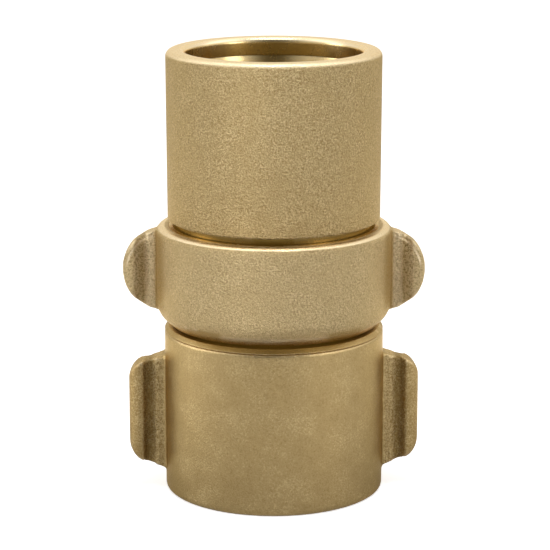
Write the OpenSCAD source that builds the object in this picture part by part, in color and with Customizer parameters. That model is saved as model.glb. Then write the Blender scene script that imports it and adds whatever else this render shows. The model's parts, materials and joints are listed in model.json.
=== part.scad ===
/* [Male half] */
// Outer radius of the lower hose bowl
male_bowl_r = 29.35; // [28.5:0.05:30.5]
// Height of the lower hose bowl, from its mouth to its shoulder
male_bowl_h = 44.2; // [42:0.1:46]
// Rounding of the outer edge of the lower mouth
male_foot_round = 0.8; // [0.4:0.1:1.6]
// Height of the shoulder's chamfer
shoulder_rise = 1; // [0.5:0.1:1]
// Width of the shoulder's chamfer, inwards from the bowl's wall
shoulder_run = 1; // [0.5:0.1:1.5]
// Radius of the machined neck above the shoulder
neck_r = 24.7; // [23.5:0.1:25.1]
// Height of the neck between shoulder and thread
neck_h = 3.95; // [3.5:0.05:6]
// Radius over the crests of the male thread
thread_r = 25.27; // [25.1:0.01:25.5]
// Length of the threaded nose above the neck
nose_h = 11.3; // [10:0.1:13]
// Height of the chamfer at the end of the nose
nose_chamfer = 1; // [0.6:0.1:1.4]
// Radius of the waterway through the whole coupling
waterway_r = 19; // [18.6:0.05:19.2]

/* [Male lugs] */
// Reach of the tall lugs from the bowl's wall
tall_lug_reach = 9.85; // [8:0.05:11]
// Height of the tall lugs where they leave the bowl
tall_lug_root_h = 31.5; // [28:0.1:34]
// Height of the root's lower end above the mouth
tall_lug_z = 5.5; // [3:0.1:7]
// Slope of the upper edge of the tall lugs, in degrees
tall_lug_top_slope = 14; // [8:0.5:20]
// Slope of the lower edge of the tall lugs, in degrees
tall_lug_foot_slope = 19; // [12:0.5:24]
// Corner radius of the tall lugs, seen from the front
tall_lug_corner_r = 5.5; // [4:0.1:6.5]
// Width of the stem of the tall lugs
tall_stem_w = 6.8; // [6:0.1:7.4]
// Radius of the rounded head of the tall lugs, seen from above
tall_head_r = 3.6; // [3.3:0.1:3.9]
// Radius of the hook groove behind the head of the tall lugs
tall_groove_r = 2; // [1.7:0.1:2.4]
// Distance from the bowl's wall to the middle of the hook groove
tall_groove_run = 4.6; // [4.2:0.1:4.8]
// Depth of the hook groove below the stem's face
tall_groove_depth = 0.8; // [0.5:0.1:1.1]
// Turn of the male half about the axis, in degrees
male_turn = 2.5; // [-15:0.5:15]

/* [Hose bowls] */
// Radius of the smooth bore just inside each bowl's mouth
lip_bore_r = 23.3; // [23:0.05:23.6]
// Depth of the smooth bore below each mouth
lip_depth = 4.7; // [4:0.1:6]
// Rounding of the inner edge of each mouth
lip_inner_round = 1.4; // [0.8:0.1:1.8]
// Number of sharp rings that grip the hose in each bowl
barbs = 5; // [4:1:5]
// Distance from one grip ring to the next
barb_pitch = 4.4; // [4:0.1:4.6]
// Depth of the groove behind each grip ring
barb_depth = 1; // [0.6:0.05:1.2]
// Length of the straight crest of each grip ring
barb_crest = 0.7; // [0.4:0.1:1]
// Radius of the pocket for the tail gasket
gasket_pocket_r = 24.3; // [23.8:0.05:24.6]
// Thickness of the tail gaskets
tail_gasket_t = 5; // [4:0.1:6]
// Thickness of the floor under each tail gasket
bowl_floor_t = 5.8; // [5:0.1:6.6]
// Radius over the outside of the expansion rings
expansion_r = 19.3; // [19.3:0.05:19.8]
// Wall of the expansion rings
expansion_wall = 0.9; // [0.7:0.05:1.1]
// Length of the expansion rings
expansion_l = 24; // [18:0.5:26]
// Length of the expansion ring held in the gasket
expansion_grip = 4; // [2:0.1:4]

/* [Female tailpiece] */
// Outer radius of the upper hose bowl at its mouth
female_mouth_r = 28.5; // [27.5:0.05:29]
// Outer radius of the upper hose bowl at its lower end
female_root_r = 28.3; // [27.5:0.05:28.8]
// Height of the upper hose bowl
female_bowl_h = 45; // [44:0.1:48]
// Rounding of the outer edge of the upper mouth
female_rim_round = 1.7; // [0.8:0.1:1.8]
// Rounding of the lower edge of the upper hose bowl
female_foot_round = 0.5; // [0.3:0.1:1]
// Radius of the neck that runs in the swivel
tail_neck_r = 26.1; // [26:0.05:26.2]

/* [Swivel ring] */
// Wall of the swivel ring outside the ball race
swivel_wall = 2.67; // [2.4:0.01:3.2]
// Gap between the lower bowl's shoulder and the swivel ring
swivel_gap_low = 0.4; // [0.3:0.1:0.8]
// Height of the swivel ring
swivel_h = 26.7; // [26.4:0.1:27]
// Gap between the swivel ring and the upper bowl
swivel_gap_top = 1.8; // [1.2:0.1:3]
// Rounding of the upper outer edge of the swivel ring
swivel_top_round = 1.8; // [1:0.1:2.2]
// Rounding between the swivel ring's wall and its tapered foot
swivel_foot_round = 4.95; // [3:0.05:5.5]
// Height of the swivel ring's tapered foot
swivel_foot_h = 3.5; // [3:0.1:4]
// Distance that the foot tapers in from the ring's wall
swivel_foot_run = 4.05; // [3.8:0.05:4.4]
// Bevel at the ring's upper inner edge
swivel_bevel = 0.6; // [0.4:0.1:1]
// Lead-in of the female thread
thread_lead_in = 0.8; // [0.5:0.1:0.8]

/* [Swivel lugs] */
// Radius of the half-round lugs, seen from the front
round_lug_r = 10.9; // [9.5:0.1:11.2]
// Reach of the half-round lugs from the ring's wall
round_lug_reach = 9.15; // [8:0.05:10]
// Height of the lugs' middle above the ring's lower face
round_lug_rise = 14.6; // [13.8:0.1:15]
// Width of the stem of the half-round lugs
round_stem_w = 5.4; // [5:0.1:7]
// Radius of the rounded head of the half-round lugs, seen from above
round_head_r = 2.8; // [2.6:0.1:3.4]
// Radius of the hook trough behind the head
round_trough_r = 2.7; // [2.3:0.1:3.1]
// Distance from the ring's wall to the middle of the hook trough
round_trough_run = 3.9; // [3.6:0.1:4.2]
// Depth of the hook trough below the stem's face
round_trough_depth = 0.7; // [0.4:0.1:1]

/* [Ball race] */
// Number of bearing balls
balls = 34; // [30:1:34]
// Radius of a bearing ball
ball_r = 2.38; // [2.3:0.01:2.4]
// Distance from the tailpiece's lower face to the ball centres
race_above_face = 4.2; // [3.8:0.1:4.4]
// Clearance between a ball and its race
race_clearance = 0.05; // [0.02:0.01:0.08]
// Thickness of the swivel gasket
swivel_gasket_t = 3.2; // [3:0.1:3.4]
// Clearance between the tailpiece and the swivel ring
turning_clearance = 0.3; // [0.25:0.01:0.35]
// Radial clearance over the crests of the male thread
thread_clearance = 0.5; // [0.4:0.05:0.6]
// Radius of the screw plug in the filling hole
plug_r = 2.7; // [2.5:0.05:2.8]
// Depth of the plug's outer face below the ring
plug_recess = 0.2; // [0.1:0.05:0.4]
// Width of the plug's screwdriver slot
plug_slot_w = 0.9; // [0.7:0.05:1.1]
// Depth of the plug's screwdriver slot
plug_slot_d = 0.9; // [0.6:0.05:1.1]

/* [Hidden] */
$fn = 64;
eps = 0.01;
neck_foot_z = male_bowl_h + shoulder_rise;
thread_z = neck_foot_z + neck_h;
nose_z = thread_z + nose_h;
nose_tip_r = thread_r - nose_chamfer;
swivel_z = neck_foot_z + swivel_gap_low;
swivel_top_z = swivel_z + swivel_h;
tail_face_z = nose_z + swivel_gasket_t;
race_z = tail_face_z + race_above_face;
swivel_bore_r = tail_neck_r + turning_clearance;
thread_bore_r = thread_r + thread_clearance;
race_mid_r = tail_neck_r + turning_clearance / 2;
race_r = ball_r + race_clearance;
swivel_r = race_mid_r + race_r + swivel_wall;
female_root_z = swivel_top_z + swivel_gap_top;
total_h = female_root_z + female_bowl_h;
round_lug_tip_r = swivel_r + round_lug_reach;
round_lug_x = round_lug_tip_r - round_lug_r;
round_lug_z = swivel_z + round_lug_rise;
round_trough_x = swivel_r + round_trough_run;
tall_lug_r = male_bowl_r + tall_lug_reach;
tall_groove_x = male_bowl_r + tall_groove_run;
pocket_depth_male = male_bowl_h - bowl_floor_t;
pocket_depth_female = female_bowl_h - bowl_floor_t;
barb_end = lip_depth + barbs * barb_pitch;
tall_lug_top_z = tall_lug_z + tall_lug_root_h;
ball_names = [for (i = [1 : balls]) str("ball_", i < 10 ? "0" : "", i)];

function unit(v) = v / norm(v);
// Length from a corner to where its rounding of radius r begins
function reach(a, b, c, r) = r / tan(acos(unit(a - b) * unit(c - b)) / 2);
// Middle of the rounding of corner b
function middle(a, b, c, r) =
  b + unit(unit(a - b) + unit(c - b)) * r / sin(acos(unit(a - b) * unit(c - b)) / 2);

// Outline whose outward corners are rounded by the radii given with the points
module soft_outline(p) {
  n = len(p);
  q = [for (i = [0 : n - 1]) [p[i][0], p[i][1]]];
  polygon([
    for (i = [0 : n - 1])
      let (a = q[(i + n - 1) % n], b = q[i], c = q[(i + 1) % n], r = p[i][2])
        for (s = r > 0 ? [0, 1] : [0])
          r == 0 ? b : b + unit((s == 0 ? a : c) - b) * reach(a, b, c, r)
  ]);
  for (i = [0 : n - 1])
    if (p[i][2] > 0) {
      a = q[(i + n - 1) % n];
      b = q[i];
      c = q[(i + 1) % n];
      m = middle(a, b, c, p[i][2]);
      run = reach(a, b, c, p[i][2]);
      intersection() {
        translate(m) circle(p[i][2]);
        polygon([m, b + unit(a - b) * run, b, b + unit(c - b) * run]);
      }
    }
}

// Points down the inside of a bowl, as radius and depth below its mouth
function bowl_wall(pocket_depth) = concat(
  [[lip_bore_r, 0, lip_inner_round], [lip_bore_r, lip_depth, 0]],
  [
    for (i = [0 : barbs - 1])
      for (s = [0 : 2])
        let (d = lip_depth + i * barb_pitch)
          s == 0 ? [lip_bore_r + barb_depth, d, 0]
          : s == 1 ? [lip_bore_r, d + barb_pitch - barb_crest, 0]
          : [lip_bore_r, d + barb_pitch, 0]
  ],
  [[gasket_pocket_r, barb_end, 0], [gasket_pocket_r, pocket_depth, 0], [waterway_r, pocket_depth, 0]]
);

module male_profile() {
  soft_outline(concat(
    bowl_wall(pocket_depth_male),
    [
      [waterway_r, nose_z, 0],
      [nose_tip_r, nose_z, 0],
      [thread_r, nose_z - nose_chamfer, 0],
      [thread_r, thread_z, 0],
      [neck_r, thread_z - (thread_r - neck_r), 0],
      [neck_r, neck_foot_z, 0],
      [male_bowl_r - shoulder_run, neck_foot_z, 0],
      [male_bowl_r, male_bowl_h, 0],
      [male_bowl_r, 0, male_foot_round]
    ]
  ));
}

// Outline of a tall lug from the front, from the bowl's wall outwards
module tall_lug_front() {
  inner_x = male_bowl_r - 3;
  soft_outline([
    [inner_x, tall_lug_z, 0],
    [male_bowl_r, tall_lug_z, 0],
    [tall_lug_r, tall_lug_z + tall_lug_reach * tan(tall_lug_foot_slope), tall_lug_corner_r],
    [tall_lug_r, tall_lug_top_z - tall_lug_reach * tan(tall_lug_top_slope), tall_lug_corner_r],
    [male_bowl_r, tall_lug_top_z, 0],
    [inner_x, tall_lug_top_z, 0]
  ]);
}

// Outline of a tall lug from above
module tall_lug_plan() {
  difference() {
    union() {
      translate([male_bowl_r - 3, -tall_stem_w / 2])
        square([tall_groove_run + 3, tall_stem_w]);
      translate([tall_lug_r - tall_head_r, 0]) circle(tall_head_r);
    }
    for (s = [-1, 1])
      translate([tall_groove_x, s * (tall_stem_w / 2 + tall_groove_r - tall_groove_depth)])
        circle(tall_groove_r);
  }
}

module tall_lug() {
  intersection() {
    linear_extrude(height = male_bowl_h) tall_lug_plan();
    translate([0, tall_stem_w, 0])
      rotate([90, 0, 0]) linear_extrude(height = 2 * tall_stem_w) tall_lug_front();
  }
}

module male_body() {
  color("darkkhaki")
    rotate(male_turn) {
      rotate_extrude() male_profile();
      for (a = [0, 180]) rotate(a) tall_lug();
    }
}

module tailpiece_profile() {
  wall = bowl_wall(pocket_depth_female);
  soft_outline(concat(
    [for (w = wall) [w[0], total_h - w[1], w[2]]],
    [
      [waterway_r, tail_face_z, 0],
      [tail_neck_r, tail_face_z, 0],
      [tail_neck_r, female_root_z, 0],
      [female_root_r, female_root_z, female_foot_round],
      [female_mouth_r, total_h, female_rim_round]
    ]
  ));
}

module race() {
  rotate_extrude() translate([race_mid_r, race_z]) circle(race_r);
}

module female_tailpiece() {
  color("darkkhaki")
    difference() {
      rotate_extrude() tailpiece_profile();
      race();
    }
}

module swivel_profile() {
  soft_outline([
    [thread_bore_r, nose_z, 0],
    [thread_bore_r, swivel_z + thread_lead_in, 0],
    [thread_bore_r + thread_lead_in, swivel_z, 0],
    [swivel_r - swivel_foot_run, swivel_z, 0],
    [swivel_r, swivel_z + swivel_foot_h, swivel_foot_round],
    [swivel_r, swivel_top_z, swivel_top_round],
    [swivel_bore_r + swivel_bevel, swivel_top_z, 0],
    [swivel_bore_r, swivel_top_z - swivel_bevel, 0],
    [swivel_bore_r, nose_z, 0]
  ]);
}

// Outline of a half-round lug from above
module round_lug_plan() {
  difference() {
    union() {
      translate([swivel_r - 3, -round_stem_w / 2])
        square([round_trough_run + 3, round_stem_w]);
      translate([round_lug_tip_r - round_head_r, 0]) circle(round_head_r);
    }
    for (s = [-1, 1])
      translate([round_trough_x, s * (round_stem_w / 2 + round_trough_r - round_trough_depth)])
        circle(round_trough_r);
  }
}

module round_lug() {
  intersection() {
    translate([0, 0, swivel_z]) linear_extrude(height = swivel_h) round_lug_plan();
    translate([round_lug_x, round_stem_w, round_lug_z])
      rotate([90, 0, 0]) cylinder(r = round_lug_r, h = 2 * round_stem_w);
  }
}

// Round bar from the axis out through the back of the swivel ring
module filling_bar(length) {
  translate([0, 0, race_z]) rotate([-90, 0, 0]) cylinder(r = plug_r, h = length);
}

module swivel_ring() {
  color("darkkhaki")
    difference() {
      union() {
        rotate_extrude() swivel_profile();
        for (a = [0, 180]) rotate(a) round_lug();
      }
      race();
      translate([0, race_mid_r, 0]) filling_bar(swivel_r);
    }
}

module race_plug() {
  face = swivel_r - plug_recess;
  color("khaki")
    difference() {
      translate([0, race_mid_r + ball_r / 2, 0]) filling_bar(face - race_mid_r - ball_r / 2);
      race();
      translate([-plug_slot_w / 2, face - plug_slot_d, race_z - plug_r - eps])
        cube([plug_slot_w, plug_slot_d + eps, 2 * plug_r + 2 * eps]);
    }
}

// Flat ring between two radii that stands on the height z
module flat_ring(r_in, r_out, z, h) {
  translate([0, 0, z])
    rotate_extrude() translate([r_in, 0]) square([r_out - r_in, h]);
}

module swivel_gasket() {
  color("dimgray") flat_ring(waterway_r, swivel_bore_r, nose_z, swivel_gasket_t);
}

module male_tail_gasket() {
  color("dimgray")
    flat_ring(expansion_r, gasket_pocket_r, pocket_depth_male - tail_gasket_t, tail_gasket_t);
}

module female_tail_gasket() {
  color("dimgray")
    flat_ring(expansion_r, gasket_pocket_r, total_h - pocket_depth_female, tail_gasket_t);
}

module male_expansion_ring() {
  z = pocket_depth_male - tail_gasket_t + expansion_grip - expansion_l;
  color("goldenrod") flat_ring(expansion_r - expansion_wall, expansion_r, z, expansion_l);
}

module female_expansion_ring() {
  z = total_h - pocket_depth_female + tail_gasket_t - expansion_grip;
  color("goldenrod") flat_ring(expansion_r - expansion_wall, expansion_r, z, expansion_l);
}

// One ball of the race, counted from 0
module ball(i) {
  color("silver")
    rotate((i + 0.5) * 360 / balls) translate([race_mid_r, 0, race_z]) sphere(ball_r);
}

male_body();
female_tailpiece();
swivel_ring();
swivel_gasket();
female_tail_gasket();
male_tail_gasket();
female_expansion_ring();
male_expansion_ring();
race_plug();
for (i = [0 : balls - 1]) ball(i);
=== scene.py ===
import json
import math
from typing import NamedTuple

import bmesh
import bpy
from bpy.props import FloatProperty, FloatVectorProperty, IntProperty, PointerProperty
from mathutils import Matrix, Vector

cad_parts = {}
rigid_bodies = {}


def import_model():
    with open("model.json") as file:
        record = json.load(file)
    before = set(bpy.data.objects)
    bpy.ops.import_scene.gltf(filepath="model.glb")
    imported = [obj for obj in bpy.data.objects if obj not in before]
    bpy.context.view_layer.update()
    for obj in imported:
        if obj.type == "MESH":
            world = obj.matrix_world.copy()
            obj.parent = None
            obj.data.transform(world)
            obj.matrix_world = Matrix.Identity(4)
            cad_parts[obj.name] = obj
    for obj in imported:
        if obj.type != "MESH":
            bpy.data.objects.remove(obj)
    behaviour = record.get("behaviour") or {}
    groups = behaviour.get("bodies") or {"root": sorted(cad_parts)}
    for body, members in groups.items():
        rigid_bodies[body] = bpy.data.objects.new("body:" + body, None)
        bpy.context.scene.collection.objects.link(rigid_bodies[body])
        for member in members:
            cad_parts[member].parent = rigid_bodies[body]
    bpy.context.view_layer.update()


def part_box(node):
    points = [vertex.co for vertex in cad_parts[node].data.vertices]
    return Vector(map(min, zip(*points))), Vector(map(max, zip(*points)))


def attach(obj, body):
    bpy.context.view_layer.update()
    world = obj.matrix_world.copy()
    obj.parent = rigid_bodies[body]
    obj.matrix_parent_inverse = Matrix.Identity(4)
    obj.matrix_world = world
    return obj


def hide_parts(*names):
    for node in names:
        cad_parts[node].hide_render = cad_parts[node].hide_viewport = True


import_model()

bl_info = {
    "name": "Fire Hose Coupling",
    "version": (1, 0, 0),
    "blender": (4, 5, 0),
    "location": "3D View > Sidebar > Coupling",
    "description": "Dresses a brass fire hose coupling and sets up its studio",
    "category": "Object",
}

MM = 0.001
# Pointiness of a flat surface
FLAT = 0.5
_, MALE_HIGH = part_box("male_body")
TAIL_LOW, TAIL_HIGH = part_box("female_tailpiece")
RING_LOW, RING_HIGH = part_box("swivel_ring")
GASKET_LOW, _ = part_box("swivel_gasket")
PLUG_LOW, PLUG_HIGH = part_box("race_plug")
UPPER_POCKET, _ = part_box("female_tail_gasket")
_, LOWER_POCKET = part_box("male_tail_gasket")
BALL_NODES = sorted(name for name in bpy.data.objects.keys() if name.startswith("ball_"))


# Shader nodes written as expressions


def arithmetic(operation, flipped=False):
    """The method of a socket that adds a Math node for an operator."""

    def apply(self, other):
        return self.math(operation, *((other, self) if flipped else (self, other)))

    return apply


class Socket:
    """An output socket whose arithmetic adds Math nodes to its tree."""

    def __init__(self, shader, output):
        self.shader = shader
        self.output = output

    def math(self, operation, a, b=None, clamp=False):
        inputs = {0: a} if b is None else {0: a, 1: b}
        settings = {"operation": operation, "use_clamp": clamp}
        return self.shader.node("ShaderNodeMath", settings, inputs)

    __add__ = __radd__ = arithmetic("ADD")
    __sub__ = arithmetic("SUBTRACT")
    __rsub__ = arithmetic("SUBTRACT", flipped=True)
    __mul__ = __rmul__ = arithmetic("MULTIPLY")
    __truediv__ = arithmetic("DIVIDE")
    __pow__ = arithmetic("POWER")

    def clamped(self):
        return self.math("ADD", self, 0.0, clamp=True)

    def unsigned(self):
        return self.math("ABSOLUTE", self)

    def mapped(self, low, high, to_low=0.0, to_high=1.0):
        """The value stretched from low..high to to_low..to_high with soft ends."""
        settings = {"interpolation_type": "SMOOTHSTEP"}
        inputs = {"Value": self, "From Min": low, "From Max": high}
        inputs.update({"To Min": to_low, "To Max": to_high})
        return self.shader.node("ShaderNodeMapRange", settings, inputs)


class Shader:
    """The node tree of a material or world, with one method that adds any node."""

    def __init__(self, owner):
        owner.use_nodes = True
        self.tree = owner.node_tree
        self.tree.nodes.clear()

    def node(self, kind, settings=None, inputs=None, output=0):
        """Adds a node. Its settings come first, then the values or links of its sockets."""
        made = self.tree.nodes.new(kind)
        for key, value in (settings or {}).items():
            setattr(made, key, value)
        for key, value in (inputs or {}).items():
            if isinstance(value, Socket):
                self.tree.links.new(value.output, made.inputs[key])
            else:
                made.inputs[key].default_value = value
        return Socket(self, made.outputs[output])

    def vector(self, operation, inputs, output=0):
        """A Vector Math node."""
        return self.node("ShaderNodeVectorMath", {"operation": operation}, inputs, output)

    def place(self):
        """Position on the piece, in millimetres."""
        where = self.node("ShaderNodeTexCoord", output="Object")
        return self.vector("SCALE", {0: where, "Scale": 1 / MM})

    def edges(self):
        """1 on the outward edges of the mesh, where handling rubs them bright and a highlight is
        painted.
        """
        bend = self.node("ShaderNodeNewGeometry", output="Pointiness")
        return bend.mapped(FLAT + 0.015, FLAT + 0.06)

    def corners(self):
        """1 in the inward corners of the mesh, where shade is painted."""
        bend = self.node("ShaderNodeNewGeometry", output="Pointiness")
        return bend.mapped(FLAT - 0.01, FLAT - 0.06)

    def from_axis(self, where):
        """Distance from the coupling's axis."""
        flat = self.vector("MULTIPLY", {0: where, 1: (1.0, 1.0, 0.0)})
        return self.vector("LENGTH", {0: flat}, "Value")

    def from_spot(self, where, spot):
        """Distance from a spot."""
        return self.vector("DISTANCE", {0: where, 1: spot}, "Value")

    def part(self, where, axis):
        """One coordinate of a place."""
        return self.node("ShaderNodeSeparateXYZ", None, {0: where}, output=axis)

    def noise(self, where, size, detail=2.0, roughness=0.5):
        """Noise from 0 to 1 whose blobs are about the given size in millimetres."""
        inputs = {"Vector": where, "Scale": 1 / size, "Detail": detail, "Roughness": roughness}
        return self.node("ShaderNodeTexNoise", None, inputs)

    def mix(self, factor, a, b):
        """Colour between a and b."""
        settings = {"data_type": "RGBA", "blend_type": "MIX"}
        return self.node("ShaderNodeMix", settings, {0: factor, 6: a, 7: b}, output=2)

    def bump(self, height, depth, strength):
        """The normal of a relief. A height of 1 stands for the depth, in millimetres."""
        inputs = {"Strength": strength, "Distance": depth * MM, "Height": height}
        return self.node("ShaderNodeBump", None, inputs)

    def rays(self):
        """1 for what the camera sees, and 1 for what shiny metal mirrors."""
        kinds = ("Is Camera Ray", "Is Glossy Ray")
        return [self.node("ShaderNodeLightPath", output=kind) for kind in kinds]

    def surface(self, **inputs):
        """The Principled surface, wired to the output."""
        named = {key.replace("_", " "): value for key, value in inputs.items()}
        self.wire(self.node("ShaderNodeBsdfPrincipled", None, named))

    def wire(self, shaded, kind="ShaderNodeOutputMaterial"):
        """Wires a shader to the output."""
        end = self.tree.nodes.new(kind)
        self.tree.links.new(shaded.output, end.inputs["Surface"])


def grey(value):
    return (value, value, value, 1.0)


def opaque(colour, share=1.0):
    """A colour with its alpha, dimmed to a share."""
    return tuple(channel * share for channel in colour[:3]) + (1.0,)


def new_material(name):
    material = bpy.data.materials.new(name)
    return material, Shader(material)


# Finishes

# Brass seen along its surface
EDGE_TINT = (1.0, 0.86, 0.62, 1.0)
# Painted brown shade on machined brass, in its mouth and its gaps
SHADE_BROWN = (0.17, 0.115, 0.035, 1.0)
# Painted glow in the narrow gaps, an emission that keeps their shade brown
GAP_GLOW = (0.045, 0.024, 0.003, 1.0)
# Sizes of the cast skin's wide clouds and its smaller blotches, in millimetres
CLOUD_SIZE = 8.0
BLOTCH_SIZE = 2.6
# How far the blotches shift the painted shade in a lug's trough, in millimetres
TROUGH_WANDER = 1.6
# How much of the colour of wear and painted highlights, and of the painted shade, covers the skin
SHEEN_AND_WEAR_SHARE = 0.85
PAINTED_SHADE_SHARE = 0.75
# Roughness of rubbed brass
RUBBED_ROUGHNESS = 0.3
# Depth of a pit, as heights of the grain
PIT_DEPTH = 4.0
# Pits in the right tall lug: place and size in millimetres
RIGHT_LUG_PITS = (
    ((30.0, -3.4, 24.5), 1.5),
    ((32.2, -3.2, 21.5), 1.1),
    ((35.5, -3.6, 38.5), 0.8),
)


class CastLook(NamedTuple):
    """The skin of a casting. Lengths are in millimetres."""

    tint: tuple  # share of each channel of the brass colours
    grain_size: float
    grain_depth: float
    grain_tone: float  # how much the grain changes the colour
    cloud_tone: float  # how much the clouds and blotches change it
    roughness: float
    # edge_wear_and_sheen: wear and a painted highlight on the outward edges
    edge_wear_and_sheen: float
    # trough_shade: painted shade in the lugs' troughs
    trough_shade: float
    lug_light_and_shade: float  # painted light on the lugs, or painted shade below 0
    stem_painted_light: float  # painted light on their stems, over that
    lug_grain: float  # how much stronger the grain is on the stems


BLASTED = CastLook(
    tint=(1.0, 1.0, 1.0),
    grain_size=0.48,
    grain_depth=1.3,
    grain_tone=1.3,
    cloud_tone=0.1,
    roughness=0.36,
    edge_wear_and_sheen=1.0,
    trough_shade=0.05,
    lug_light_and_shade=0.1,
    stem_painted_light=0.05,
    lug_grain=2.6,
)
TUMBLED = CastLook(
    tint=(0.86, 0.84, 0.79),
    grain_size=0.5,
    grain_depth=0.16,
    grain_tone=0.7,
    cloud_tone=0.22,
    roughness=0.34,
    edge_wear_and_sheen=0.4,
    trough_shade=0.5,
    lug_light_and_shade=-0.07,
    stem_painted_light=0.1,
    lug_grain=2.4,
)


def brass_surface(s, colour, rough, painted_glow, normal):
    s.surface(
        Base_Color=colour,
        Metallic=1.0,
        Roughness=rough,
        Specular_Tint=EDGE_TINT,
        # The emission is a painted glow in narrow gaps
        Emission_Color=painted_glow,
        Emission_Strength=1.0,
        Normal=normal,
    )


def cast_brass(name, finish, look, wall, trough, polish_and_sheen=None, painted_shade=None, pits=()):
    """Cast brass with the grain of blasting or tumbling.

    wall and trough are the distances from the axis of the wall and of the lugs' troughs.
    polish_and_sheen(shader, place) is 1 where wear leaves the brass smooth and a highlight is
    painted, and painted_shade(shader, place) is 1 where shade is painted.
    """
    material, s = new_material(name)
    where = s.place()
    grain = s.noise(where, look.grain_size, 3.0, 0.6)
    fine = s.noise(where, look.grain_size * 0.45, 2.0, 0.5)
    clouds = s.noise(where, CLOUD_SIZE, 3.0, 0.55)
    blotch = s.noise(where, BLOTCH_SIZE, 3.0, 0.6)
    # Wear on the outward edges with a painted highlight along them, and the finish's painted
    # highlights
    rubbed_and_highlighted = s.edges() * look.edge_wear_and_sheen
    if polish_and_sheen:
        rubbed_and_highlighted = (rubbed_and_highlighted + polish_and_sheen(s, where)).clamped()

    reach = s.from_axis(where)
    on_lug = reach.mapped(wall + 0.3, wall + 1.0)
    before_head = reach.mapped(trough + 2.4, trough + 1.2, 0.35, 1.0)
    patchy = clouds.mapped(0.36, 0.62, 0.75, 1.1) * (1.0 + on_lug * before_head * look.lug_grain)
    speckle = ((grain - 0.5) * 0.6 + (fine - 0.5) * 0.4) * patchy
    cloudy = (clouds - 0.5) * look.cloud_tone + (blotch - 0.5) * look.cloud_tone * 0.5
    # Painted light on the lugs and more on their stems; below 0 it is painted shade
    on_stem = on_lug * reach.mapped(trough - 0.5, trough - 1.5)
    painted_lug_light = on_lug * look.lug_light_and_shade + on_stem * look.stem_painted_light
    tone = speckle * look.grain_tone + cloudy + painted_lug_light + 0.5

    dark, mid, light, dirt_and_shade = [
        opaque([channel * part for channel, part in zip(shade, look.tint)])
        for shade in (finish.brass_dark, finish.brass, finish.brass_light, finish.brass_shade_and_dirt)
    ]
    colour = s.mix(tone.mapped(0.34, 0.5), dark, mid)
    colour = s.mix(tone.mapped(0.5, 0.66), colour, light)
    # Painted shade in the lugs' troughs and in inward corners
    beside = (reach + (blotch - 0.5) * TROUGH_WANDER - trough).unsigned()
    trough_and_corner_shade = on_lug * beside.mapped(2.0, 0.2, 0.0, look.trough_shade) + s.corners() * 0.5
    colour = s.mix(trough_and_corner_shade.clamped(), colour, dirt_and_shade)
    colour = s.mix(rubbed_and_highlighted * SHEEN_AND_WEAR_SHARE, colour, opaque(finish.brass_sheen_and_wear))
    # Painted shade where the finish gives it, with a faint painted glow in it
    painted_glow = grey(0.0)
    if painted_shade:
        shade_mask = painted_shade(s, where).clamped()
        colour = s.mix(shade_mask * PAINTED_SHADE_SHARE, colour, dirt_and_shade)
        painted_glow = s.mix(shade_mask, painted_glow, GAP_GLOW)

    smoother = rubbed_and_highlighted * (look.roughness - RUBBED_ROUGHNESS)
    rough = (look.roughness + (fine - 0.5) * 0.25 - smoother).clamped()
    height = speckle * (1.0 - rubbed_and_highlighted * 0.85)
    for spot, size in pits:
        ragged = s.noise(where, size * 0.5, 3.0, 0.7)
        pit = s.from_spot(where, spot).mapped(size * 0.3, size, 1.0, 0.0) * ragged
        height = height - pit * PIT_DEPTH
        colour = s.mix((pit * 1.4 - 0.25).clamped(), colour, dirt_and_shade)
    brass_surface(s, colour, rough, painted_glow, s.bump(height, look.grain_depth, 1.0))
    return material


def machined_brass(name, finish, roughness, groove_depth, brown_shade=None, rim_highlight=None):
    """Turned brass with the fine rings that the tool leaves round the axis."""
    material, s = new_material(name)
    where = s.place()
    rings = {"X": s.from_axis(where), "Z": s.part(where, "Z")}
    tool = s.noise(s.node("ShaderNodeCombineXYZ", None, rings), 0.22, 2.0, 0.5)
    stain = s.noise(where, 5.0, 3.0, 0.6)
    clean, darkened = opaque(finish.cut_brass), opaque(finish.cut_brass, 0.7)
    tone = s.mix(stain.mapped(0.35, 0.7, 0.0, 0.3), clean, darkened)
    painted_glow = grey(0.0)
    # Painted highlight on the rim's top
    if rim_highlight:
        tone = s.mix(rim_highlight(s, where), tone, opaque(finish.brass_sheen_and_wear))
    # Painted brown shade, with a faint painted glow in it
    if brown_shade:
        brown_mask = brown_shade(s, where).clamped()
        tone = s.mix(brown_mask, tone, SHADE_BROWN)
        painted_glow = s.mix(brown_mask, painted_glow, GAP_GLOW)
    rough = (roughness + (stain - 0.5) * 0.2).clamped()
    brass_surface(s, tone, rough, painted_glow, s.bump(tool, groove_depth, 0.6))
    return material


def moulded_rubber(name, colour):
    """Black rubber with a faint bloom."""
    material, s = new_material(name)
    where = s.place()
    bloom = s.noise(where, 3.0, 4.0, 0.6)
    skin = s.noise(where, 0.35, 3.0, 0.6)
    tone = s.mix(bloom.mapped(0.4, 0.75), opaque(colour), grey(0.06))
    rough = (0.55 + (bloom - 0.5) * 0.3).clamped()
    s.surface(Base_Color=tone, Roughness=rough, Normal=s.bump(skin, 0.04, 0.7))
    return material


def ground_steel(name, colour):
    """Bearing steel, ground and slightly oiled."""
    material, s = new_material(name)
    film = s.noise(s.place(), 1.4, 2.0, 0.5)
    tone = s.mix(film.mapped(0.4, 0.8), opaque(colour), opaque(colour, 0.8))
    s.surface(Base_Color=tone, Metallic=1.0, Roughness=(0.16 + (film - 0.5) * 0.12).clamped())
    return material


# Shapes

# Steps in a turn of the thread, and in a rounded corner of a lug
HELIX_STEPS = 96
PRISM_SEGMENTS = 8
# Rounds that smooth a casting's skin
SKIN_ROUNDS = 3


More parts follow.
